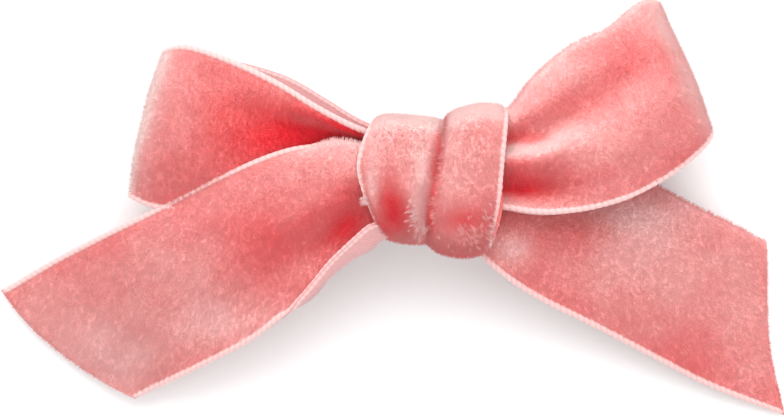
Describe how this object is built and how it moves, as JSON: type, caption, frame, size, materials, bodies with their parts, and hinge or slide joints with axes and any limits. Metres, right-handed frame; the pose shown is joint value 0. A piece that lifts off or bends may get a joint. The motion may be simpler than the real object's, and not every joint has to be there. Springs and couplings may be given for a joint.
{
  "type": "hair barrette",
  "caption": "Sprung steel hair barrette with a hinged clasp arm, a tension bar and a squeeze catch, carrying a hand-tied bow of velvet ribbon.",
  "frame": {"origin": "centre of the clasp arm's flat underside, straight below the middle of the knot", "axes": "+X along the clip from the hinge to the catch, +Y towards the top of the bow, +Z out of the bow's front"},
  "size_m": [0.1103, 0.0579, 0.0225],
  "materials": {
    "spring_steel": "nickel plated, satin",
    "plated_rivet": "nickel plated, bright",
    "velvet": "cut pile velvet ribbon",
    "glue": "hot-melt glue, cloudy"
  },
  "bodies": {
    "clip_base": {"base_plate": "spring_steel", "catch_plate": "spring_steel", "catch_rivet": "plated_rivet", "hinge_pin": "plated_rivet", "glue_pad": "glue", "knot_core": "velvet", "knot_wrap": "velvet", "left_loop": "velvet", "right_loop": "velvet", "left_tail": "velvet", "right_tail": "velvet"},
    "arm": {"clasp_arm": "spring_steel"},
    "bar": {"tension_bar": "spring_steel"},
    "prong_rear": {"catch_prong_rear": "spring_steel"},
    "prong_front": {"catch_prong_front": "spring_steel"}
  },
  "joints": [
    {"name": "clasp_swing", "type": "hinge", "parent": "clip_base", "child": "arm", "pos_m": [-0.0296, 0, 0.00145], "axis": [0, 1, 0], "range_deg": [0, 100]},
    {"name": "bar_lift", "type": "hinge", "parent": "clip_base", "child": "bar", "pos_m": [-0.0296, 0, 0.00145], "axis": [0, 1, 0], "range_deg": [0, 10]},
    {"name": "rear_squeeze", "type": "hinge", "parent": "clip_base", "child": "prong_rear", "pos_m": [0.026, 0.0025, 0.00383], "axis": [-1, 0, 0], "range_deg": [0, 13], "stiffness_Nm_per_rad": 0.01},
    {"name": "front_squeeze", "type": "hinge", "parent": "clip_base", "child": "prong_front", "pos_m": [0.026, -0.0025, 0.00383], "axis": [1, 0, 0], "range_deg": [0, 13], "stiffness_Nm_per_rad": 0.01}
  ],
  "couplings": [
    {"joint": "bar_lift", "follows": "clasp_swing", "ratio": 0.1}
  ]
}
